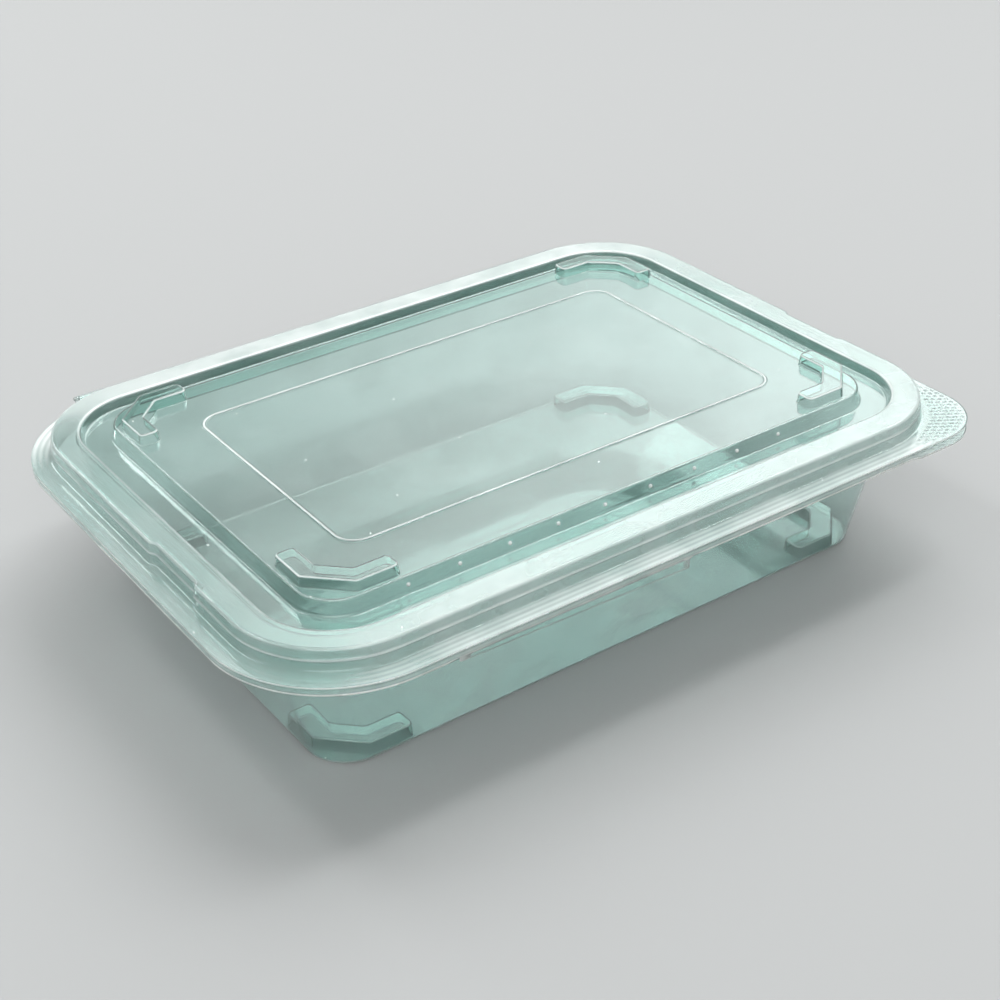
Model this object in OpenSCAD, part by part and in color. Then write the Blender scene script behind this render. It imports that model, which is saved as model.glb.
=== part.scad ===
// Clear hinged-lid food container, vacuum formed from one thin sheet.
// The base tray and the lid are two drawn shells that meet in a nested rim:
// the lid's ridge sits over the base's bead, and a fold along the back joins them.
// X runs along the long side, the fold is at +Y, Z is up, the floor lies on z = 0.

/* [Container] */
// Length over the rim flange
rim_l = 190; // [150:1:240]
// Width over the rim flange
rim_w = 139.2; // [110:0.2:180]
// Corner radius of the rim flange
rim_r = 29.1; // [26:0.1:34]
// Height of the lid flange's top face above the table
rim_h = 34.3; // [24:0.1:60]
// Thickness of the sheet
sheet = 0.4; // [0.3:0.05:0.6]

/* [Rim] */
// Width of the flange outside the ridge
flange_w = 4.9; // [3:0.1:7]
// Space between the lid flange and the base flange
flange_gap = 1.2; // [0.6:0.1:2]
// Width of the lid ridge across its top
ridge_w = 6.6; // [5.4:0.1:8]
// Height of the lid ridge above the flange
ridge_h = 5.2; // [4:0.1:7]
// Lean of the ridge's outer wall
ridge_lean = 0.2; // [0.1:0.05:0.6]
// Clearance between the lid ridge and the base bead
rim_clear = 0.4; // [0.35:0.05:0.6]
// Radius of the folds along the rim
fold_r = 0.8; // [0.6:0.05:1]

/* [Lid] */
// Depth of the groove inside the ridge
groove_depth = 2.6; // [2.2:0.1:3]
// Width of the groove floor
groove_w = 6.7; // [4:0.1:7.4]
// Lean of the groove's outer wall
groove_lean = 0.6; // [0.5:0.05:1]
// Rise of the panel above the ridge
panel_rise = 1.2; // [0.4:0.1:3]
// Lean of the wall between the groove and the panel
panel_lean = 0.6; // [0.3:0.05:1]
// Distance from the panel's edge to the raised line that frames the label area
label_inset = 16.5; // [14:0.1:24]
// Corner radius of the label frame
label_r = 5; // [2:0.5:10]
// Width of the raised line
line_w = 0.8; // [0.5:0.1:1.5]
// Height of the raised line
line_h = 0.3; // [0.2:0.05:0.5]

/* [Base] */
// Distance from the flange's edge to the floor's edge
floor_inset = 19; // [17.4:0.1:21]
// Outside radius where the floor turns up into the wall
floor_fold_r = 1; // [0.8:0.1:1.4]

/* [Stacking lugs] */
// Height of a lug above the panel
lug_h = 2.6; // [1.5:0.1:4]
// Width of a lug's arm
lug_w = 5.4; // [4:0.1:6.5]
// Length of each arm from the lug's outer corner
lug_arm = 19.2; // [15:0.1:24]
// Size of the chamfer across the lug's outer corner
lug_chamfer = 8.6; // [7:0.1:11]
// Distance from the panel's edge to the lug
lug_inset = 0.9; // [0.7:0.1:1.5]
// Clearance of a stacked lug in the pocket under the base
stack_clear = 0.4; // [0.2:0.05:0.5]

/* [Grip tab] */
// Corner radius of the tab at the front right corner
tab_r = 14; // [6:0.5:18]
// Drop of the base's tab below its flange
tab_drop = 0.7; // [0.5:0.1:1.5]
// Flat land between the ridge and the step of the base's tab
tab_land = 2.4; // [1:0.1:3]

/* [Hinge] */
// Distance from the flange's end to the fold's end
hinge_inset = 22; // [18:0.5:40]
// Reach of the fold line beyond the flange
hinge_reach = 3.6; // [3.2:0.1:6]
// Outside radius of the bead beside the fold line
hinge_bead_r = 1.4; // [1:0.1:1.5]
// Slack left at the fold line
fold_slack = 0.2; // [0.15:0.05:0.4]

/* [Snap lock] */
// Length of the dent in each short side of the ridge
lock_l = 19.5; // [10:0.5:30]
// Distance of the dent from the middle towards the front
lock_y = 15.4; // [0:0.1:20]
// Depth of the dent
lock_depth = 0.9; // [0.5:0.1:1.2]
// Slack at each end of the dent's seat
lock_slack = 1; // [0.8:0.1:2]

/* [Front lip] */
// Length of the lip turned down under the front flange
lip_l = 58; // [30:1:70]
// Distance of the lip's left end from the corner's start
lip_inset = 9.9; // [0:0.1:12]
// Height of the lip at its left end
lip_low = 0.8; // [0.5:0.1:2]
// Height of the lip at its right end
lip_high = 2.4; // [1:0.1:4]

/* [Vent pips] */
// Number of pips along the front of the panel
pip_n = 9; // [3:1:11]
// Distance from the left corner's start to the first pip
pip_left = 10.8; // [4:0.2:20]
// Distance from the last pip to the right corner's start
pip_right = 21.4; // [4:0.2:30]
// Diameter of a pip
pip_d = 0.9; // [0.6:0.1:1.4]

/* [Hidden] */
$fn = 64;
fold_steps = 3;
over = 1;
chamfer_gain = 2 - sqrt(2);

core_l = rim_l - 2 * rim_r;
core_w = rim_w - 2 * rim_r;

lid_flange_z = rim_h;
ridge_z = lid_flange_z + ridge_h;
panel_z = ridge_z + panel_rise;
groove_z = ridge_z - groove_depth;
base_flange_z = lid_flange_z - sheet - flange_gap;
bead_z = ridge_z - sheet - rim_clear;
fold_y = rim_w / 2 + hinge_reach;

foot_rad = rim_r - flange_w;
ridge_out_rad = foot_rad - ridge_lean;
ridge_in_rad = ridge_out_rad - ridge_w;
groove_out_rad = ridge_in_rad - groove_lean;
groove_in_rad = groove_out_rad - groove_w;
panel_rad = groove_in_rad - panel_lean;
floor_rad = rim_r - floor_inset;
bead_in_rad = ridge_in_rad + sheet + rim_clear;
bead_out_rad = ridge_out_rad - sheet - rim_clear;
bead_foot_rad = foot_rad - sheet - rim_clear;

lid_line = [
    [0, panel_z],
    [panel_rad, panel_z],
    [groove_in_rad, groove_z],
    [groove_out_rad, groove_z],
    [ridge_in_rad, ridge_z],
    [ridge_out_rad, ridge_z],
    [foot_rad, lid_flange_z],
    [rim_r, lid_flange_z]
];
base_line = [
    [0, sheet],
    [floor_rad - sheet, sheet],
    [bead_in_rad, bead_z],
    [bead_out_rad, bead_z],
    [bead_foot_rad, base_flange_z],
    [rim_r, base_flange_z]
];
lid_folds = [for (i = [0 : len(lid_line) - 1]) fold_r];
base_folds = [for (i = [0 : len(base_line) - 1]) i == 1 ? floor_fold_r - sheet : fold_r];

lug_x = core_l / 2 + panel_rad - lug_inset;
lug_y = core_w / 2 + panel_rad - lug_inset;
label_l = core_l + 2 * (panel_rad - label_inset);
label_w = core_w + 2 * (panel_rad - label_inset);
hinge_l = rim_l - 2 * hinge_inset;
lip_end = lip_inset + lip_l - core_l / 2;
pip_pitch = (core_l - pip_left - pip_right) / (pip_n - 1);
pocket_h = lug_h + stack_clear;
pip_z = (groove_z + panel_z) / 2;
pip_y = core_w / 2 + (groove_in_rad + panel_rad) / 2;

function unit(v) = v / norm(v);

function right_of(d) = [d[1], -d[0]];

function heading(p, i) = unit(p[i + 1] - p[i]);

function turn(p, i) = sign(cross(heading(p, i - 1), heading(p, i)));

// A line moved to its right by t, with its corners mitred
function moved(p, t) = let (last = len(p) - 1) [
    for (i = [0 : last])
        i == 0 ? p[0] + t * right_of(heading(p, 0)) :
        i == last ? p[last] + t * right_of(heading(p, last - 1)) :
        let (a = right_of(heading(p, i - 1)), b = right_of(heading(p, i)))
            p[i] + t * (a + b) / (1 + a * b)
];

// An arc of radius r in the corner b of the line a, b, c
function arc(a, b, c, r) = let (
    u = unit(b - a),
    v = unit(c - b),
    angle = acos(u * v),
    side = sign(cross(u, v)),
    start = b - u * r * tan(angle / 2),
    centre = start - side * r * right_of(u)
) [
    for (k = [0 : fold_steps])
        let (t = side * angle * k / fold_steps, d = start - centre)
            centre + [d[0] * cos(t) - d[1] * sin(t), d[0] * sin(t) + d[1] * cos(t)]
];

// A line with an arc of its own radius in each corner
function folded(p, radii) = let (last = len(p) - 1) concat(
    [p[0]],
    [for (i = [1 : last - 1]) each arc(p[i - 1], p[i], p[i + 1], radii[i])],
    [p[last]]
);

function reversed(p) = [for (i = [len(p) - 1 : -1 : 0]) p[i]];

// The closed section of a sheet whose upper face follows the line p
function sheet_section(p, radii) = let (
    last = len(p) - 1,
    under = [for (i = [0 : last]) i == 0 || i == last ? 0 : radii[i] + sheet * turn(p, i)]
) concat(folded(p, radii), reversed(folded(moved(p, sheet), under)));

function box_section(r, r_end, z, z_end) = [[r, z], [r_end, z], [r_end, z_end], [r, z_end]];

// The section of a rim wall filled inwards to the radius r, from its flange's underside to its top
function wall_section(r, foot, top, flange, high) = [
    [r, flange - sheet],
    [foot, flange - sheet],
    [foot, flange],
    [top, high - fold_r],
    [top - fold_r, high],
    [r, high]
];

// The L-shaped outline of a lug, grown by g on every side
function lug_outline(g) = let (
    x = lug_x + g,
    y = lug_y + g,
    arm = lug_arm + 2 * g,
    w = lug_w + 2 * g,
    c = lug_chamfer + g * chamfer_gain,
    inner = w + c - w * chamfer_gain
) [
    [x, y - arm],
    [x, y - c],
    [x - c, y],
    [x - arm, y],
    [x - arm, y - w],
    [x - inner, y - w],
    [x - w, y - inner],
    [x - w, y - arm]
];

// One section carried round the whole rim: four sides and four corners
module swept(section) {
    for (side = [0 : 1]) {
        rotate([0, 0, 180 * side]) {
            translate([core_l / 2, core_w / 2, 0])
                rotate([90, 0, 0])
                    linear_extrude(core_w) polygon(section);
            translate([-core_l / 2, core_w / 2, 0])
                rotate([90, 0, 90])
                    linear_extrude(core_l) polygon(section);
            translate([core_l / 2, core_w / 2, 0])
                rotate_extrude(angle = 90) polygon(section);
            translate([-core_l / 2, core_w / 2, 0])
                rotate([0, 0, 90])
                    rotate_extrude(angle = 90) polygon(section);
        }
    }
}

module core_slab(z) {
    translate([-core_l / 2, -core_w / 2, z])
        cube([core_l, core_w, sheet]);
}

module rounded_rect(l, w, r) {
    square([l - 2 * r, w], center = true);
    square([l, w - 2 * r], center = true);
    for (x = [-1, 1], y = [-1, 1])
        translate([x * (l / 2 - r), y * (w / 2 - r)])
            circle(r);
}

module each_corner() {
    for (x = [0, 1], y = [0, 1])
        mirror([x, 0, 0])
            mirror([0, y, 0])
                children();
}

module lug_block(g, z, h) {
    each_corner()
        translate([0, 0, z])
            linear_extrude(h) polygon(lug_outline(g));
}

// Plan of the grip tab outside the radius r, in the front right corner, begun at start from its ends
module tab_plan(r, start) {
    straight = rim_r - tab_r;
    translate([core_l / 2, -core_w / 2])
        mirror([0, 1])
            difference() {
                intersection() {
                    union() {
                        translate([start, start]) square([straight - start, rim_r - start]);
                        translate([start, start]) square([rim_r - start, straight - start]);
                        translate([straight, straight]) circle(tab_r);
                    }
                    translate([start, start]) square(rim_r - start);
                }
                circle(r);
            }
}

// One leaf of the fold: a strip with a hollow bead, up for the lid, down for the base
module hinge_leaf(z, up) {
    bead_y = fold_y - fold_slack - hinge_bead_r;
    hollow = hinge_bead_r - sheet;
    translate([-hinge_l / 2, 0, z])
        rotate([90, 0, 90])
            linear_extrude(hinge_l)
                mirror([0, up ? 0 : 1])
                    difference() {
                        union() {
                            translate([rim_w / 2 - over, 0])
                                square([over + hinge_reach - fold_slack, sheet]);
                            intersection() {
                                translate([bead_y, 0]) circle(hinge_bead_r);
                                translate([rim_w / 2, 0])
                                    square([hinge_reach, hinge_bead_r]);
                            }
                        }
                        translate([bead_y, 0]) circle(hollow);
                    }
}

// A section run along both short sides of the ridge, at the snap lock
module lock_run(section, length) {
    for (side = [0, 1])
        mirror([side, 0, 0])
            translate([core_l / 2, length / 2 - lock_y, 0])
                rotate([90, 0, 0])
                    linear_extrude(length) polygon(section);
}

module front_lip() {
    translate([0, -rim_w / 2 + sheet, base_flange_z])
        rotate([90, 0, 0])
            linear_extrude(sheet)
                polygon([
                    [lip_end - lip_l, 0],
                    [lip_end - lip_l, -sheet - lip_low],
                    [lip_end, -sheet - lip_high],
                    [lip_end, 0]
                ]);
}

module label_frame() {
    translate([0, 0, panel_z - sheet / 2])
        linear_extrude(sheet / 2 + line_h)
            difference() {
                rounded_rect(label_l + line_w, label_w + line_w, label_r + line_w / 2);
                rounded_rect(label_l - line_w, label_w - line_w, label_r - line_w / 2);
            }
}

module vent_pips() {
    for (i = [0 : pip_n - 1])
        translate([pip_left + i * pip_pitch - core_l / 2, -pip_y, pip_z])
            sphere(d = pip_d);
}

module base() {
    tab_step = bead_foot_rad + tab_land;
    seat = bead_out_rad - lock_depth;
    seat_l = lock_l + 2 * (sheet + lock_slack);
    seat_edge = bead_foot_rad + fold_r + sheet;
    seat_wall = wall_section(seat - sheet, bead_foot_rad, bead_out_rad, base_flange_z, bead_z);
    color([0.62, 0.80, 0.78, 0.45])
        difference() {
            union() {
                difference() {
                    union() {
                        swept(sheet_section(base_line, base_folds));
                        core_slab(0);
                        hinge_leaf(base_flange_z, false);
                        front_lip();
                        lug_block(stack_clear + sheet, 0, pocket_h + sheet);
                        lock_run(seat_wall, seat_l + 2 * sheet);
                        lock_run(box_section(seat, seat_edge, base_flange_z - sheet, base_flange_z), seat_l);
                    }
                    translate([0, 0, base_flange_z - sheet - over])
                        linear_extrude(sheet + 2 * over) tab_plan(tab_step, 0);
                }
                translate([0, 0, base_flange_z - sheet - tab_drop]) {
                    linear_extrude(sheet) tab_plan(tab_step - sheet, -sheet);
                    linear_extrude(sheet + tab_drop)
                        difference() {
                            tab_plan(tab_step - sheet, -sheet);
                            tab_plan(tab_step, 0);
                        }
                }
            }
            lug_block(stack_clear, -over, over + pocket_h);
            lock_run(box_section(seat, seat_edge, base_flange_z, bead_z + over), seat_l);
        }
}

module lid() {
    dent = ridge_out_rad - lock_depth;
    dent_edge = foot_rad + fold_r + sheet;
    dent_wall = wall_section(dent - sheet, foot_rad, ridge_out_rad, lid_flange_z, ridge_z);
    color([0.66, 0.84, 0.82, 0.45])
        difference() {
            union() {
                swept(sheet_section(lid_line, lid_folds));
                core_slab(panel_z - sheet);
                translate([0, 0, lid_flange_z - sheet])
                    linear_extrude(sheet) tab_plan(foot_rad, 0);
                hinge_leaf(lid_flange_z - sheet, true);
                lug_block(0, panel_z - sheet, lug_h + sheet);
                lock_run(dent_wall, lock_l + 2 * sheet);
                lock_run(box_section(dent, dent_edge, lid_flange_z - sheet, lid_flange_z), lock_l);
                label_frame();
                vent_pips();
            }
            lug_block(-sheet, panel_z - sheet - over, over + lug_h);
            lock_run(box_section(dent, dent_edge, lid_flange_z, ridge_z + over), lock_l);
        }
}

base();
lid();
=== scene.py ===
import math

import bmesh
import bpy
from mathutils import Matrix, Vector
from mathutils.geometry import delaunay_2d_cdt


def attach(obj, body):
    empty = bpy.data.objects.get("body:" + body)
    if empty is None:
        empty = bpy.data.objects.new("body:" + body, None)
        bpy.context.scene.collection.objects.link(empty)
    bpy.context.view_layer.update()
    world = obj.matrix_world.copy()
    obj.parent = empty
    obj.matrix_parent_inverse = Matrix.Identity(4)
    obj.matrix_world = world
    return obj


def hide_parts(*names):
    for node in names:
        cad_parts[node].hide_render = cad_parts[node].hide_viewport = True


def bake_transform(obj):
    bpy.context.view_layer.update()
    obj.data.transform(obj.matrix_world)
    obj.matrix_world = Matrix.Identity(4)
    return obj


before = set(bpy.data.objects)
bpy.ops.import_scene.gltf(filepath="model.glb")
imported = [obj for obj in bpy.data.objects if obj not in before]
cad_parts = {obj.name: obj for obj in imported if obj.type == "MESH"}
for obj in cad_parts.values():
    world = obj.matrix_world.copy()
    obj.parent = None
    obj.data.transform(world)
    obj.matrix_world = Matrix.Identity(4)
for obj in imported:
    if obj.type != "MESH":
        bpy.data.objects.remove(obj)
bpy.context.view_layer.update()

MM = 0.001

# Sizes of the container in millimetres, the same values as the solids
RIM_L, RIM_W, RIM_R, RIM_H = 190.0, 139.2, 29.1, 34.3
SHEET = 0.4
FLANGE_W, FLANGE_GAP = 4.9, 1.2
RIDGE_W, RIDGE_H, RIDGE_LEAN, RIM_CLEAR, FOLD_R = 6.6, 5.2, 0.2, 0.4, 0.8
GROOVE_D, GROOVE_W, GROOVE_LEAN, PANEL_RISE, PANEL_LEAN = 2.6, 6.7, 0.6, 1.2, 0.6
LABEL_INSET, LABEL_R, LINE_W, LINE_H = 16.5, 5.0, 0.8, 0.3
FLOOR_INSET, FLOOR_FOLD = 19.0, 1.0
LUG_H, LUG_W, LUG_ARM, LUG_CHAMFER, LUG_INSET, STACK_CLEAR = 2.6, 5.4, 19.2, 8.6, 0.9, 0.4
TAB_R, TAB_DROP, TAB_LAND = 14.0, 0.7, 2.4
HINGE_INSET, HINGE_REACH, HINGE_BEAD, FOLD_SLACK = 22.0, 3.6, 1.4, 0.2
LOCK_L, LOCK_Y, LOCK_DEPTH, LOCK_SLACK = 19.5, 15.4, 0.9, 1.0
LIP_L, LIP_INSET, LIP_LOW, LIP_HIGH = 58.0, 9.9, 0.8, 2.4
PIP_N, PIP_LEFT, PIP_RIGHT, PIP_D = 9, 10.8, 21.4, 0.9

CX, CY = RIM_L / 2 - RIM_R, RIM_W / 2 - RIM_R
LID_Z = RIM_H
RIDGE_Z = LID_Z + RIDGE_H
PANEL_Z = RIDGE_Z + PANEL_RISE
GROOVE_Z = RIDGE_Z - GROOVE_D
BASE_Z = LID_Z - SHEET - FLANGE_GAP
BEAD_Z = RIDGE_Z - SHEET - RIM_CLEAR
FOOT = RIM_R - FLANGE_W
RIDGE_OUT = FOOT - RIDGE_LEAN
RIDGE_IN = RIDGE_OUT - RIDGE_W
GROOVE_OUT = RIDGE_IN - GROOVE_LEAN
GROOVE_IN = GROOVE_OUT - GROOVE_W
PANEL = GROOVE_IN - PANEL_LEAN
FLOOR = RIM_R - FLOOR_INSET
BEAD_IN = RIDGE_IN + SHEET + RIM_CLEAR
BEAD_OUT = RIDGE_OUT - SHEET - RIM_CLEAR
BEAD_FOOT = FOOT - SHEET - RIM_CLEAR
LUG_X, LUG_Y = CX + PANEL - LUG_INSET, CY + PANEL - LUG_INSET
POCKET_H = LUG_H + STACK_CLEAR
FOLD_Y = RIM_W / 2 + HINGE_REACH
LABEL_L, LABEL_W = 2 * (CX + PANEL - LABEL_INSET), 2 * (CY + PANEL - LABEL_INSET)
HINGE_L = RIM_L - 2 * HINGE_INSET

# Mesh of the sheets: points of one fold, the holding points beside it and the rings across a flange
FOLD_STEPS = 6
FOLD_POINTS = FOLD_STEPS + 3
HOLD = 0.12
FLANGE_RINGS = 30
LONG_CUTS, SHORT_CUTS, CORNER_CUTS, TAB_CUTS = 40, 60, 32, 150
# Fine forms and trims that the solids leave out, in millimetres
PANEL_FOLD = 0.6
SNAP_BEAD = 0.3
TAB_TRIM = 0.03
FILM = 0.25
FILM_COLS, FILM_ROWS = 40, 14
KNURL_H, KNURL_ROW, KNURL_PITCH = 0.32, 1.5, 1.6
LUG_LEAN, LUG_TUCK, POCKET_LEAN, POCKET_GROW = 0.2, 0.35, 0.15, 0.1
LUG_TOP_R, LUG_PLAN_R = 0.5, 1.3
# Whiteness of the sheet, 0 for clear: along the rim, on the flanges, on the floor, then on strips and lines.
# Along the rim and on the flanges it is partly milky haze and partly painted highlight, on the strips and
# lines partly crease whitening and partly painted highlight, and on the floor it is haze
RIM_MILK_AND_HIGHLIGHT = 0.32
FLANGE_MILK_AND_HIGHLIGHT = 0.32
FLOOR_MILK = 0.1
STRIP_WHITE, LABEL_WHITE, LUG_WHITE, POCKET_WHITE = 0.6, 0.75, 0.75, 0.6
# The rim's white share at its left end, its gains to the right and along the back, which are painted
# highlight, and its share on the grip tab
MILK_AND_HIGHLIGHT_LEFT, HIGHLIGHT_GAIN_RIGHT, HIGHLIGHT_GAIN_BACK, MILK_AND_HIGHLIGHT_TAB = 0.35, 0.65, 0.9, 0.3
# Width of the streaks in the flange's white, which is partly milk and partly painted highlight, in
# millimetres
STREAK = 1.4
# How white each fold is, from the middle outwards: partly crease whitening and partly a painted highlight
# along the fold. The lid's sixth is its snap bead
LID_FOLD_WHITE_AND_HIGHLIGHT = (0.2, 0.0, 0.0, 0.5, 0.25, 0.4, 0.0)
BASE_FOLD_WHITE_AND_HIGHLIGHT = (0.75, 0.0, 0.0, 0.0)
# Share of the white line, part whitening and part painted highlight, over the points of one fold
FOLD_LINE = (0.0, 0.0, 0.25, 0.8, 1.0, 0.8, 0.25, 0.0, 0.0)


def smooth(t):
    t = min(1.0, max(0.0, t))
    return t * t * (3 - 2 * t)


def turned(d, t):
    """A plan vector turned by t."""
    return d.x * math.cos(t) - d.y * math.sin(t), d.x * math.sin(t) + d.y * math.cos(t)


def folded(points, radii):
    """A line whose corners are arcs, with a holding point on each side of an arc.

    It starts at the first arc.
    """
    out = []
    for i in range(1, len(points) - 1):
        a, b, c = (Vector(points[k]) for k in (i - 1, i, i + 1))
        u, v = (b - a).normalized(), (c - b).normalized()
        angle = u.angle(v)
        side = 1 if u.cross(v) > 0 else -1
        r = radii[i]
        reach = r * math.tan(angle / 2)
        start = b - u * reach
        centre = start + Vector((-u.y, u.x)) * r * side
        d = start - centre
        out.append(tuple(start - u * HOLD))
        for k in range(FOLD_STEPS + 1):
            t = side * angle * k / FOLD_STEPS
            dx, dy = turned(d, t)
            out.append((centre.x + dx, centre.y + dy))
        out.append(tuple(b + v * (reach + HOLD)))
    return out


def stations():
    """Places round the rim: (foot of the normal on the core rectangle, outward normal, corner or side)."""
    out = []

    def side(ax, ay, bx, by, nx, ny, cuts):
        for t in cuts:
            out.append(((ax + (bx - ax) * t, ay + (by - ay) * t), (nx, ny), None))

    def corner(cx, cy, start, n, name):
        for k in range(n):
            a = math.radians(start + 90 * k / n)
            out.append(((cx, cy), (math.cos(a), math.sin(a)), name))

    long_cuts = [k / LONG_CUTS for k in range(LONG_CUTS)]
    short_cuts = [k / SHORT_CUTS for k in range(SHORT_CUTS)]
    side(CX, -CY, CX, CY, 1, 0, short_cuts)
    corner(CX, CY, 0, CORNER_CUTS, "back_right")
    side(CX, CY, -CX, CY, 0, 1, long_cuts)
    corner(-CX, CY, 90, CORNER_CUTS, "back_left")
    side(-CX, CY, -CX, -CY, -1, 0, short_cuts)
    corner(-CX, -CY, 180, CORNER_CUTS, "front_left")
    side(-CX, -CY, CX, -CY, 0, -1, long_cuts)
    corner(CX, -CY, 270, TAB_CUTS, "tab")
    return out


STATIONS = stations()


def tab_reach(nx, ny):
    """Distance from the tab's corner centre to the tab's edge along a normal, a hair inside the solids."""
    ax, ay = abs(nx), abs(ny)
    s = RIM_R - TAB_R
    side = RIM_R - TAB_TRIM
    if ax * s >= ay * RIM_R:
        return side / ax
    if ay * s >= ax * RIM_R:
        return side / ay
    b = s * (ax + ay) - TAB_TRIM
    return b + math.sqrt(b * b - 2 * s * s + TAB_R * TAB_R)


def lock_window(y, grow):
    """1 inside the snap lock's dent, 0 outside it, with a soft end."""
    half = LOCK_L / 2 + grow
    soft = 0.7
    return smooth((half + soft / 2 - abs(y + LOCK_Y)) / soft)


def knurl(x, y):
    """Rows of small raised grips, in millimetres of height."""
    u, v = x * 0.82 - y * 0.57, x * 0.57 + y * 0.82
    row = math.floor(v / KNURL_ROW)
    # Every other row is shifted by half a pitch
    u += KNURL_PITCH / 2 * (row % 2)
    a = max(0.0, math.cos(2 * math.pi * u / KNURL_PITCH))
    b = max(0.0, math.cos(2 * math.pi * (v / KNURL_ROW - row - 0.5) * 0.9))
    return KNURL_H * a * b


class Sheet:
    """One formed sheet, built as its upper face. A solidify modifier gives it its thickness downwards."""

    def __init__(self):
        self.bm = bmesh.new()
        # Each point's whiteness: haze, crease whitening and painted highlight on rims and folds
        self.whiteness_and_highlight = self.bm.verts.layers.float.new("whiteness_and_highlight")

    def vert(self, x, y, z, whiteness_and_highlight=0.0):
        v = self.bm.verts.new((x * MM, y * MM, z * MM))
        v[self.whiteness_and_highlight] = whiteness_and_highlight
        return v

    def quads(self, a, b, closed=True):
        n = len(a)
        for i in range(n if closed else n - 1):
            j = (i + 1) % n
            self.bm.faces.new((a[i], b[i], b[j], a[j]))

    def fill(self, loops, holes, z):
        """Flat triangles between the outer loop and the holes, all at height z."""
        coords, edges, verts = [], [], []
        for loop in loops:
            first = len(coords)
            for k, v in enumerate(loop):
                coords.append(Vector((v.co.x / MM, v.co.y / MM)))
                edges.append((first + k, first + (k + 1) % len(loop)))
                verts.append(v)
        got, _, faces, origin, _, _ = delaunay_2d_cdt(coords, edges, [], 1, 1e-6)
        table = [verts[o[0]] if o else self.vert(c.x, c.y, z) for c, o in zip(got, origin)]
        for f in faces:
            mid = sum((got[k] for k in f), Vector((0, 0))) / len(f)
            if any(inside(mid, h) for h in holes):
                continue
            self.bm.faces.new([table[k] for k in f])

    def object(self, name, thickness):
        bmesh.ops.remove_doubles(self.bm, verts=self.bm.verts, dist=1e-7)
        bmesh.ops.recalc_face_normals(self.bm, faces=self.bm.faces)
        up = sum(f.normal.z * f.calc_area() for f in self.bm.faces)
        if up < 0:
            bmesh.ops.reverse_faces(self.bm, faces=self.bm.faces)
        mesh = bpy.data.meshes.new(name)
        self.bm.to_mesh(mesh)
        self.bm.free()
        for p in mesh.polygons:
            p.use_smooth = True
        ob = bpy.data.objects.new(name, mesh)
        bpy.context.scene.collection.objects.link(ob)
        m = ob.modifiers.new("sheet", "SOLIDIFY")
        m.thickness = thickness * MM
        m.offset = -1
        m.use_even_offset = True
        m.use_quality_normals = True
        m.material_offset_rim = 1
        return ob


def inside(p, loop):
    n, hit = len(loop), False
    for i in range(n):
        (ax, ay), (bx, by) = loop[i], loop[(i + 1) % n]
        if (ay > p.y) != (by > p.y) and p.x < (bx - ax) * (p.y - ay) / (by - ay) + ax:
            hit = not hit
    return hit


def plan_round(points, r, steps=6):
    """A closed plan outline with rounded corners, as (point, outward normal) for an anticlockwise outline."""
    out = []
    n = len(points)
    for i in range(n):
        a, b, c = (Vector(points[k % n]) for k in (i - 1, i, i + 1))
        u, v = (b - a).normalized(), (c - b).normalized()
        angle = u.angle(v)
        side = 1 if u.cross(v) > 0 else -1
        start = b - u * r * math.tan(angle / 2)
        centre = start + Vector((-u.y, u.x)) * r * side
        d = start - centre
        for k in range(steps + 1):
            t = side * angle * k / steps
            p = centre + Vector(turned(d, t))
            normal = (p - centre).normalized() * side
            out.append((p, normal))
    return out


def lug_outline(g):
    """Plan of the boomerang at the back right, grown by g all round. Pockets are the same form, grown."""
    gain = 2 - math.sqrt(2)
    x, y = LUG_X + g, LUG_Y + g
    arm, w = LUG_ARM + 2 * g, LUG_W + 2 * g
    c = LUG_CHAMFER + g * gain
    inner = w + c - w * gain
    return [
        (x, y - arm), (x, y - c), (x - c, y), (x - arm, y),
        (x - arm, y - w), (x - inner, y - w), (x - w, y - inner), (x - w, y - arm),
    ]


def mirrored(points, sx, sy):
    out = [(p[0] * sx, p[1] * sy) for p in points]
    return out if sx * sy > 0 else out[::-1]


def raised(sheet, outline, profile, z, r):
    """A raised form on a flat: rings along the outline, then a flat top. Returns its foot.

    profile gives (outward distance, height, whiteness) for each ring.
    """
    path = plan_round(outline, r)
    rings = []
    for d, h, c in profile:
        rings.append([sheet.vert(p.x + n.x * d, p.y + n.y * d, z + h, c) for p, n in path])
    for a, b in zip(rings, rings[1:]):
        sheet.quads(a, b)
    sheet.fill([rings[-1]], [], z + profile[-1][1])
    return rings[0]


def lug_profile(h, lean, foot, top, line):
    """Foot fillet, leaning wall and top fillet of a lug or pocket. line is how white its top fold is, partly
    whitening and partly painted highlight.
    """
    out = [(lean + foot + HOLD, 0.0, 0.0), (lean + foot, 0.0, 0.0)]
    foot_steps = 5
    for k in range(1, foot_steps + 1):
        t = math.radians(90 * k / foot_steps)
        out.append((lean + foot * (1 - math.sin(t)), foot * (1 - math.cos(t)), 0.0))
    out.append((lean * 0.5, h * 0.5, 0.0))
    for k in range(FOLD_STEPS + 1):
        t = math.radians(90 * k / FOLD_STEPS)
        out.append((-top * (1 - math.cos(t)), h - top * (1 - math.sin(t)), line * FOLD_LINE[k + 1]))
    out.append((-top - HOLD, h, 0.0))
    return out


def four_raised(sheet, grow, profile, z):
    """A lug or pocket in each corner. Returns their feet and the plan outlines of the feet."""
    feet, holes = [], []
    for sx in (1, -1):
        for sy in (1, -1):
            outline = mirrored(lug_outline(grow), sx, sy)
            foot = raised(sheet, outline, profile, z, LUG_PLAN_R)
            feet.append(foot)
            holes.append([(v.co.x / MM, v.co.y / MM) for v in foot])
    return feet, holes


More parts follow.
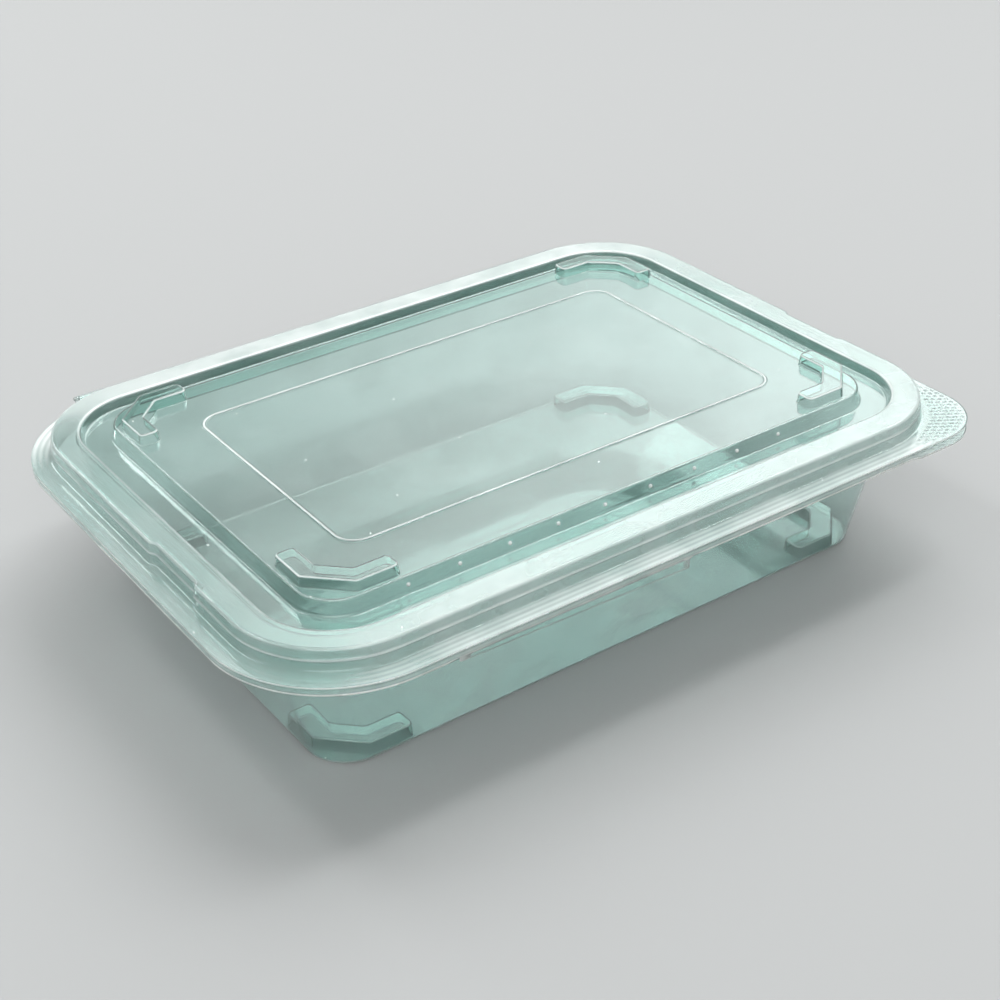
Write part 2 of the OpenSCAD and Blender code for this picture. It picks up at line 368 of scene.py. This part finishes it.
def rim_loops(sheet, line, fold_white_and_highlight, white_from, shape):
    """Rings of one section line carried round the rim. shape moves a point by its place round the rim.

    The folds' list gives how white each fold is, partly crease whitening and partly painted highlight.
    Outside the given radius the drawn rim is slightly milky and carries a painted highlight, least at its
    left end and most along the back.
    """
    rings = []
    for i, (r, z) in enumerate(line):
        ring = []
        fold, point = divmod(i, FOLD_POINTS)
        c = fold_white_and_highlight[fold] * FOLD_LINE[point] if fold < len(fold_white_and_highlight) else 0.0
        streak = 0.65 + 0.35 * math.cos(2 * math.pi * (r - FOOT) / STREAK)
        # Milky haze with painted highlight, streaked on the flange
        milk_and_highlight = RIM_MILK_AND_HIGHLIGHT * smooth((r - white_from) / 0.6) + FLANGE_MILK_AND_HIGHLIGHT * smooth((r - FOOT - 0.3) / 0.6) * streak
        for (bx, by), (nx, ny), name in STATIONS:
            x, y, h = shape(i, r, z, bx, by, nx, ny, name)
            share = MILK_AND_HIGHLIGHT_LEFT + HIGHLIGHT_GAIN_RIGHT * smooth((x + RIM_L / 2) / 45) + HIGHLIGHT_GAIN_BACK * smooth((y - CY) / 20)
            if name == "tab" and r > FOOT:
                share += (MILK_AND_HIGHLIGHT_TAB - share) * smooth((tab_reach(nx, ny) - RIM_R) / 3)
            ring.append(sheet.vert(x, y, h, c + milk_and_highlight * share))
        rings.append(ring)
    for a, b in zip(rings, rings[1:]):
        sheet.quads(a, b)
    return rings


def strip(sheet, edge, run, low, high, rows):
    """A strip of sheet that goes on from part of an edge, white at its fold and its cut edges, partly crease
    whitening and partly painted highlight.

    rows gives (y, z) from x for each line of the strip.
    """
    xs = [edge[i].co.x / MM for i in run]
    xs[0], xs[-1] = low, high
    lines = [[edge[i] for i in run]]
    for row in rows:
        lines.append([sheet.vert(x, *row(x)) for x in xs])
    for line in lines[1:]:
        line[0][sheet.whiteness_and_highlight] = line[-1][sheet.whiteness_and_highlight] = STRIP_WHITE
    for v in lines[0] + lines[-1]:
        v[sheet.whiteness_and_highlight] = STRIP_WHITE
    for a, b in zip(lines, lines[1:]):
        sheet.quads(a, b, closed=False)


def hinge_strip(sheet, edge, up):
    """The fold's leaf behind the rim's back edge, with its bead, up on the lid and down on the base."""
    half = HINGE_L / 2
    run = [i for i, s in enumerate(STATIONS) if s[1][1] > 0.5 and abs(edge[i].co.x / MM) <= half]
    run.sort(key=lambda i: edge[i].co.x)
    mid = FOLD_Y - FOLD_SLACK - HINGE_BEAD
    r = HINGE_BEAD if up else HINGE_BEAD - SHEET
    z = LID_Z - SHEET if up else BASE_Z
    # The bead's arc, in degrees from the rim's side over its middle
    first, last = (17, 172) if up else (4, 160)
    steps = 12
    flat = LID_Z if up else BASE_Z
    rows = [(mid - r - 0.35, flat), (mid - r - 0.15, flat)]
    for k in range(steps + 1):
        t = math.radians(first + (last - first) * k / steps)
        rows.append((mid - r * math.cos(t), z + (1 if up else -1) * r * math.sin(t)))
    strip(sheet, edge, run, -half, half, [lambda x, yz=yz: yz for yz in rows])


def front_lip(sheet, edge):
    """The lip turned down under the front flange, deeper towards its right end."""
    low = LIP_INSET - CX
    high = low + LIP_L
    near = 1.6
    run = [i for i, s in enumerate(STATIONS)
           if s[1][1] < -0.9 and low - near <= edge[i].co.x / MM <= high + near]
    run.sort(key=lambda i: edge[i].co.x)

    def depth(x):
        return LIP_LOW + (LIP_HIGH - LIP_LOW) * (x - low) / LIP_L

    steps = 8
    rows = [lambda x, k=k: (-RIM_W / 2, BASE_Z - SHEET - depth(x) * k / steps) for k in range(1, steps + 1)]
    strip(sheet, edge, run, low, high, rows)


def with_flange(line, z):
    """The last fold's radius, and the section line with the flange's rings added."""
    last = line[-1][0]
    flat = [(last + (RIM_R - last) * k / FLANGE_RINGS, z) for k in range(1, FLANGE_RINGS + 1)]
    return last, line + flat


def dented(r, start, ramp, window):
    """A radius on a short side, pushed in at the snap lock between the radius start and the flange's edge."""
    if not start < r < RIM_R - 0.5:
        return r
    return r - LOCK_DEPTH * window * smooth((r - start) / ramp) * smooth((RIM_R - 1.5 - r) / 2.0)


def gripped(r, start, reach):
    """1 on the knurled part of the grip tab, 0 off it."""
    band = smooth((r - start) / 0.6) * smooth((reach - 0.7 - r) / 0.5)
    return band * smooth((reach - RIM_R - 0.25) / 0.8)


def make_lid():
    s = Sheet()
    line = folded(
        [
            (0, PANEL_Z), (PANEL, PANEL_Z), (GROOVE_IN, GROOVE_Z), (GROOVE_OUT, GROOVE_Z),
            (RIDGE_IN, RIDGE_Z), (RIDGE_OUT, RIDGE_Z), (FOOT, LID_Z), (RIM_R, LID_Z),
        ],
        [FOLD_R, PANEL_FOLD] + [FOLD_R] * 6,
    )
    # The snap bead half way up the ridge's outer wall
    at = 5 * FOLD_POINTS
    (ra, za), (rb, zb) = line[at - 1], line[at]
    snap = []
    for k in range(FOLD_POINTS):
        u = k / (FOLD_POINTS - 1)
        t = 0.3 + 0.4 * u
        snap.append((ra + (rb - ra) * t + SNAP_BEAD * math.sin(math.pi * u) ** 2, za + (zb - za) * t))
    line[at:at] = snap
    last, line = with_flange(line, LID_Z)
    first_flat = len(line) - FLANGE_RINGS
    # The plain land beside the tab's knurl, and where the lock's dent starts on the ridge's top
    land = 2.2
    dent = RIDGE_IN + RIDGE_W * 0.35

    def shape(i, r, z, bx, by, nx, ny, name):
        if name is None and abs(nx) == 1:
            r = dented(r, dent, RIDGE_W * 0.3, lock_window(by, 0))
        if name == "tab" and i >= first_flat - 1:
            reach = tab_reach(nx, ny)
            r = last + (reach - last) * max(0.0, (r - last) / (RIM_R - last))
            x, y = bx + nx * r, by + ny * r
            return x, y, z + knurl(x, y) * gripped(r, FOOT + land, reach)
        return bx + nx * r, by + ny * r, z

    rings = rim_loops(s, line, LID_FOLD_WHITE_AND_HIGHLIGHT, RIDGE_IN - 0.3, shape)
    hinge_strip(s, rings[-1], True)

    prof = lug_profile(LUG_H, LUG_LEAN, LUG_LEAN, LUG_TOP_R, LUG_WHITE)
    feet, holes = four_raised(s, -LUG_TUCK, prof, PANEL_Z)

    # The label frame's raised line, white along its crown: partly whitening, partly a painted highlight
    half = LINE_W / 2 + 0.1
    bead = [(half + HOLD, 0.0, 0.0)]
    steps = 8
    for k in range(steps + 1):
        t = math.pi * k / steps
        bead.append((half * math.cos(t), LINE_H * math.sin(t) ** 2, LABEL_WHITE * math.sin(t) ** 4))
    bead.append((-half - HOLD, 0.0, 0.0))
    lx, ly = LABEL_L / 2, LABEL_W / 2
    path = plan_round([(lx, -ly), (lx, ly), (-lx, ly), (-lx, -ly)], LABEL_R, 10)
    frame_rings = []
    for d, h, c in bead:
        frame_rings.append([s.vert(p.x + n.x * d, p.y + n.y * d, PANEL_Z + h, c) for p, n in path])
    for a, b in zip(frame_rings, frame_rings[1:]):
        s.quads(a, b)
    outer = [(v.co.x / MM, v.co.y / MM) for v in frame_rings[0]]
    s.fill([rings[0], frame_rings[0]] + feet, holes + [outer], PANEL_Z)
    s.fill([frame_rings[-1]], [], PANEL_Z)
    return s.object("lid_shell", SHEET)


def make_base():
    s = Sheet()
    line = folded(
        [
            (0, SHEET), (FLOOR - SHEET, SHEET), (BEAD_IN, BEAD_Z),
            (BEAD_OUT, BEAD_Z), (BEAD_FOOT, BASE_Z), (RIM_R, BASE_Z),
        ],
        [0, FLOOR_FOLD - SHEET, FOLD_R, FOLD_R, FOLD_R, 0],
    )
    last, line = with_flange(line, BASE_Z)
    first_flat = len(line) - FLANGE_RINGS
    step = BEAD_FOOT + TAB_LAND

    def shape(i, r, z, bx, by, nx, ny, name):
        if name is None and abs(nx) == 1:
            r = dented(r, BEAD_IN + 1.6, 1.6, lock_window(by, LOCK_SLACK))
        if name == "tab" and i >= first_flat - 1:
            reach = tab_reach(nx, ny)
            r = last + (reach - last) * max(0.0, (r - last) / (RIM_R - last))
            x, y = bx + nx * r, by + ny * r
            drop = TAB_DROP * smooth((r - step + 0.2) / 0.6) * smooth((reach - RIM_R) / 0.6)
            return x, y, z - drop + knurl(x, y) * gripped(r, step + 0.4, reach)
        return bx + nx * r, by + ny * r, z

    rings = rim_loops(s, line, BASE_FOLD_WHITE_AND_HIGHLIGHT, BEAD_IN - 0.3, shape)
    hinge_strip(s, rings[-1], False)
    front_lip(s, rings[-1])

    prof = lug_profile(POCKET_H, POCKET_LEAN, POCKET_LEAN, LUG_TOP_R, POCKET_WHITE)
    feet, holes = four_raised(s, POCKET_GROW, prof, SHEET)
    # The floor has a little haze
    for loop in [rings[0]] + feet:
        for v in loop:
            v[s.whiteness_and_highlight] = FLOOR_MILK
    s.fill([rings[0]] + feet, holes, SHEET)
    return s.object("base_shell", SHEET)


def make_pips():
    """Small vent pips along the front of the panel's wall."""
    bm = bmesh.new()
    y = CY + (GROOVE_IN + PANEL) / 2
    z = (GROOVE_Z + PANEL_Z) / 2
    pitch = (2 * CX - PIP_LEFT - PIP_RIGHT) / (PIP_N - 1)
    for k in range(PIP_N):
        place = Matrix.Translation(Vector((PIP_LEFT + k * pitch - CX, -y, z)) * MM)
        bmesh.ops.create_uvsphere(bm, u_segments=16, v_segments=10, radius=PIP_D / 2 * MM, matrix=place)
    mesh = bpy.data.meshes.new("vent_pips")
    bm.to_mesh(mesh)
    bm.free()
    for p in mesh.polygons:
        p.use_smooth = True
    ob = bpy.data.objects.new("vent_pips", mesh)
    bpy.context.scene.collection.objects.link(ob)
    return ob


def make_film():
    """The living hinge: a thin flat film between the ends of the two leaves."""
    bm = bmesh.new()
    # It is a little shorter than the leaves and overlaps both of them
    half = HINGE_L / 2 - 0.4
    y = FOLD_Y - FOLD_SLACK - HINGE_BEAD + (HINGE_BEAD - SHEET) * 1.03
    low, high = BASE_Z - 0.45, LID_Z - SHEET + 0.2
    cols, rows = FILM_COLS, FILM_ROWS

    def grid_row(depth, r):
        z = low + (high - low) * r / rows
        xs = [(2 * c / cols - 1) * half for c in range(cols + 1)]
        return [bm.verts.new((x * MM, (y + depth) * MM, z * MM)) for x in xs]

    near = [grid_row(0.0, r) for r in range(rows + 1)]
    far = [grid_row(FILM, r) for r in range(rows + 1)]
    for r in range(rows):
        for c in range(cols):
            bm.faces.new((far[r][c + 1], far[r][c], far[r + 1][c], far[r + 1][c + 1]))
            bm.faces.new((near[r][c], near[r][c + 1], near[r + 1][c + 1], near[r + 1][c]))
        bm.faces.new((near[r][0], near[r + 1][0], far[r + 1][0], far[r][0]))
        bm.faces.new((near[r][cols], far[r][cols], far[r + 1][cols], near[r + 1][cols]))
    for c in range(cols):
        bm.faces.new((near[0][c], far[0][c], far[0][c + 1], near[0][c + 1]))
        bm.faces.new((near[rows][c], near[rows][c + 1], far[rows][c + 1], far[rows][c]))
    bmesh.ops.recalc_face_normals(bm, faces=bm.faces)
    mesh = bpy.data.meshes.new("hinge_film")
    bm.to_mesh(mesh)
    bm.free()
    ob = bpy.data.objects.new("hinge_film", mesh)
    bpy.context.scene.collection.objects.link(ob)
    return ob, Vector((0, y, BASE_Z - 0.2)) * MM, Vector((0, y, LID_Z - SHEET)) * MM


# Sizes of the plastic's detail, as noise scales per metre
WAVE_SCALE, PATCH_SCALE, HAZE_SCALE, DUST_SCALE = 45.0, 60.0, 70.0, 34.0
WAVE_STRENGTH, WAVE_DEPTH = 0.07, 0.0006
# Radius of a dust speck in cells, its soft edge and its whiteness
DUST_R, DUST_EDGE, DUST_WHITE = 0.005, 0.010, 0.8
# Roughness that the haze and the white lines add, and what stays clear of a fully white place
HAZE_ROUGH, WHITE_ROUGH, WHITE_CLEAR = 0.05, 0.3, 0.1


def clear_plastic(name, tint, pale, whiten, cloud):
    """Clear PET sheet with a faint cast, slight draw waves, fine haze, dust specks and white lines that are
    partly whitening and partly painted highlight.

    whiten is how white it is where no point is marked white, which paints the glow on cut edges and the glint
    on pips, and cloud is how white its pale patches get.
    """
    m = bpy.data.materials.new(name)
    m.use_nodes = True
    nt = m.node_tree
    b = nt.nodes["Principled BSDF"]
    b.inputs["IOR"].default_value = 1.5
    coords = nt.nodes.new("ShaderNodeTexCoord")

    def noise(scale, detail):
        n = nt.nodes.new("ShaderNodeTexNoise")
        n.inputs["Scale"].default_value = scale
        n.inputs["Detail"].default_value = detail
        nt.links.new(coords.outputs["Object"], n.inputs["Vector"])
        return n.outputs["Fac"]

    def span(value, from_min, from_max, to_min, to_max, soft=False):
        n = nt.nodes.new("ShaderNodeMapRange")
        n.interpolation_type = "SMOOTHSTEP" if soft else "LINEAR"
        limits = {"From Min": from_min, "From Max": from_max, "To Min": to_min, "To Max": to_max}
        for key, v in limits.items():
            n.inputs[key].default_value = v
        nt.links.new(value, n.inputs["Value"])
        return n.outputs["Result"]

    def join(op, x, y):
        n = nt.nodes.new("ShaderNodeMath")
        n.operation = op
        nt.links.new(x, n.inputs[0])
        nt.links.new(y, n.inputs[1])
        return n.outputs[0]

    bump = nt.nodes.new("ShaderNodeBump")
    bump.inputs["Strength"].default_value = WAVE_STRENGTH
    bump.inputs["Distance"].default_value = WAVE_DEPTH
    nt.links.new(noise(WAVE_SCALE, 1.0), bump.inputs["Height"])
    nt.links.new(bump.outputs["Normal"], b.inputs["Normal"])

    specks = nt.nodes.new("ShaderNodeTexVoronoi")
    specks.voronoi_dimensions = "2D"
    specks.inputs["Scale"].default_value = DUST_SCALE
    nt.links.new(coords.outputs["Object"], specks.inputs["Vector"])
    dust = span(specks.outputs["Distance"], DUST_R, DUST_EDGE, DUST_WHITE, 0.0)
    # Dust lies on the flats only
    shape = nt.nodes.new("ShaderNodeNewGeometry")
    upright = nt.nodes.new("ShaderNodeSeparateXYZ")
    nt.links.new(shape.outputs["Normal"], upright.inputs[0])
    dust = join("MULTIPLY", dust, span(upright.outputs["Z"], 0.9, 0.95, 0.0, 1.0))

    # Each point's whiteness, partly haze and whitening, partly painted highlight on rims and folds
    line = nt.nodes.new("ShaderNodeAttribute")
    line.attribute_name = "whiteness_and_highlight"
    patches = noise(PATCH_SCALE, 3.0)
    white = span(line.outputs["Fac"], 0.0, 1.0, whiten, 1.0)
    white = join("MULTIPLY", white, span(patches, 0.3, 0.65, 0.75, 1.0, True))
    white = join("MAXIMUM", white, dust)
    white = join("ADD", white, span(patches, 0.4, 0.8, 0.0, cloud, True))
    colour = nt.nodes.new("ShaderNodeMix")
    colour.data_type = "RGBA"
    colour.inputs["A"].default_value = (*tint, 1)
    colour.inputs["B"].default_value = (*pale, 1)
    nt.links.new(white, colour.inputs["Factor"])
    nt.links.new(colour.outputs["Result"], b.inputs["Base Color"])
    nt.links.new(span(white, 0.0, 1.0, 1.0, WHITE_CLEAR), b.inputs["Transmission Weight"])
    haze = span(noise(HAZE_SCALE, 2.0), 0.4, 0.75, 0.0, HAZE_ROUGH)
    nt.links.new(join("ADD", haze, span(white, 0.0, 1.0, 0.0, WHITE_ROUGH)), b.inputs["Roughness"])
    return m


base_shell = make_base()
lid_shell = make_lid()
pips = make_pips()
# Cast of the clear sheet and of its white places. The teal cast is partly the sheet's own and partly a
# painted reflection of a teal surround, deeper on the lid than on the base, though both are one sheet
BASE_TINT, BASE_PALE = (0.82, 0.942, 0.918), (0.92, 0.93, 0.91)
LID_TINT, LID_PALE = (0.775, 0.94, 0.907), (0.95, 0.98, 0.97)
BASE_CLOUD, LID_CLOUD, EDGE_WHITE = 0.16, 0.06, 0.8
for ob, body, tint, pale, cloud in (
    (base_shell, "base", BASE_TINT, BASE_PALE, BASE_CLOUD),
    (lid_shell, "lid", LID_TINT, LID_PALE, LID_CLOUD),
):
    ob.data.materials.append(clear_plastic("clear_" + body, tint, pale, 0.0, cloud))
    # The cut edges get a second, rougher material painted white: a painted glow of the light the sheet
    # carries to its edges
    ob.data.materials.append(clear_plastic("cut_edge_" + body, tint, pale, EDGE_WHITE, cloud))
# The pips are painted fully white: partly whitening, partly a painted glint on each small bump
pips.data.materials.append(clear_plastic("pip_lid", LID_TINT, LID_PALE, 1.0, 0.0))
film, film_low, film_high = make_film()
film.data.materials.append(lid_shell.data.materials[0])
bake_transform(film)
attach(pips, "lid")
for ob, body in ((base_shell, "base"), (lid_shell, "lid")):
    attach(ob, body)
    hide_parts(body)

# Floor, light and camera
FLOOR_SIZE, FLOOR_GAP = 40.0, 0.0002
bpy.ops.mesh.primitive_plane_add(size=FLOOR_SIZE, location=(0, 0, -FLOOR_GAP))
floor = bpy.context.object
floor.name = "floor"
fm = bpy.data.materials.new("floor")
fm.use_nodes = True
fb = fm.node_tree.nodes["Principled BSDF"]
fb.inputs["Base Color"].default_value = (0.41, 0.42, 0.42, 1)
fb.inputs["Roughness"].default_value = 0.9
floor.data.materials.append(fm)

scene = bpy.context.scene
scene.view_settings.view_transform = "Standard"
# Light passes many faces of clear sheet
scene.cycles.max_bounces = 18
scene.cycles.transmission_bounces = 18
scene.cycles.glossy_bounces = 6
scene.cycles.diffuse_bounces = 3

world = bpy.data.worlds.new("world")
scene.world = world
world.use_nodes = True
wt = world.node_tree
back = wt.nodes["Background"]


def math_node(op, a, b):
    n = wt.nodes.new("ShaderNodeMath")
    n.operation = op
    for k, v in enumerate((a, b)):
        if isinstance(v, (int, float)):
            n.inputs[k].default_value = v
        else:
            wt.links.new(v, n.inputs[k])
    return n.outputs[0]


AMBIENT = 0.28
# Round soft boxes far off: azimuth, elevation, bright and outer half angles in degrees, strength
SOFT_BOXES = (
    (36, 48, 12, 33, 3.2),
    (80, 86, 12, 30, 0.8),
    (165, 36, 12, 26, 0.8),
    (235, 38, 14, 36, 2.2),
    (75, 3, 6, 16, 1.0),
)
# Brightness of the backdrop above the floor, which is seen as pale as the far floor
BACKDROP = 0.478

ray = wt.nodes.new("ShaderNodeTexCoord").outputs["Generated"]
light = AMBIENT
for azimuth, elevation, inner, outer, strength in SOFT_BOXES:
    az, el = math.radians(azimuth), math.radians(elevation)
    dot = wt.nodes.new("ShaderNodeVectorMath")
    dot.operation = "DOT_PRODUCT"
    wt.links.new(ray, dot.inputs[0])
    dot.inputs[1].default_value = (math.cos(el) * math.cos(az), math.cos(el) * math.sin(az), math.sin(el))
    box = wt.nodes.new("ShaderNodeMapRange")
    box.interpolation_type = "SMOOTHSTEP"
    box.inputs["From Min"].default_value = math.cos(math.radians(outer))
    box.inputs["From Max"].default_value = math.cos(math.radians(inner))
    box.inputs["To Max"].default_value = strength
    wt.links.new(dot.outputs["Value"], box.inputs["Value"])
    light = math_node("ADD", box.outputs["Result"], light)
back.inputs["Color"].default_value = (1.0, 1.0, 1.0, 1)
seen = wt.nodes.new("ShaderNodeMapRange")
wt.links.new(wt.nodes.new("ShaderNodeLightPath").outputs["Is Camera Ray"], seen.inputs["Value"])
wt.links.new(light, seen.inputs["To Min"])
seen.inputs["To Max"].default_value = BACKDROP
wt.links.new(seen.outputs["Result"], back.inputs["Strength"])

# Length, width and distance of the strip lamps in metres, and their brightness
STRIP_L, STRIP_W, STRIP_FAR, STRIP_GLOW = 0.9, 0.16, 1.2, 8.0


def strip_light(name, direction, along):
    """A long narrow soft box that faces the object."""
    z = Vector(direction).normalized()
    lamp = bpy.data.lights.new(name, "AREA")
    lamp.shape = "RECTANGLE"
    lamp.size, lamp.size_y = STRIP_L, STRIP_W
    lamp.energy = STRIP_GLOW * math.pi * STRIP_L * STRIP_W
    ob = bpy.data.objects.new(name, lamp)
    scene.collection.objects.link(ob)
    x = (Vector(along) - z * z.dot(Vector(along))).normalized()
    y = z.cross(x)
    ob.matrix_world = Matrix.Translation(z * STRIP_FAR) @ Matrix((x, y, z)).transposed().to_4x4()


strip_light("strip_across", (0.5, 0.0, 0.87), (1, 0, 0))
strip_light("strip_deep", (-0.25, 0.72, 0.65), (0, 1, 0))

# The camera was fitted to the photo: place in metres, turns in degrees, focal length in image widths
EYE = (-0.2047, -0.2990, 0.2345)
YAW, PITCH, ROLL = 55.29, 31.38, -1.52
FOCAL, SENSOR = 1.7582, 36.0
yaw, pitch, roll = (math.radians(v) for v in (YAW, PITCH, ROLL))
forward = Vector((math.cos(yaw) * math.cos(pitch), math.sin(yaw) * math.cos(pitch), -math.sin(pitch)))
right = Vector((math.sin(yaw), -math.cos(yaw), 0))
up = right.cross(forward)
rolled_right = right * math.cos(roll) + up * math.sin(roll)
rolled_up = up * math.cos(roll) - right * math.sin(roll)
cam = bpy.data.cameras.new("camera")
cam.sensor_width = SENSOR
cam.lens = SENSOR * FOCAL
cam.clip_start = 0.01
cam_ob = bpy.data.objects.new("camera", cam)
scene.collection.objects.link(cam_ob)
rot = Matrix((rolled_right, rolled_up, -forward)).transposed().to_4x4()
cam_ob.matrix_world = Matrix.Translation(Vector(EYE)) @ rot
scene.camera = cam_ob
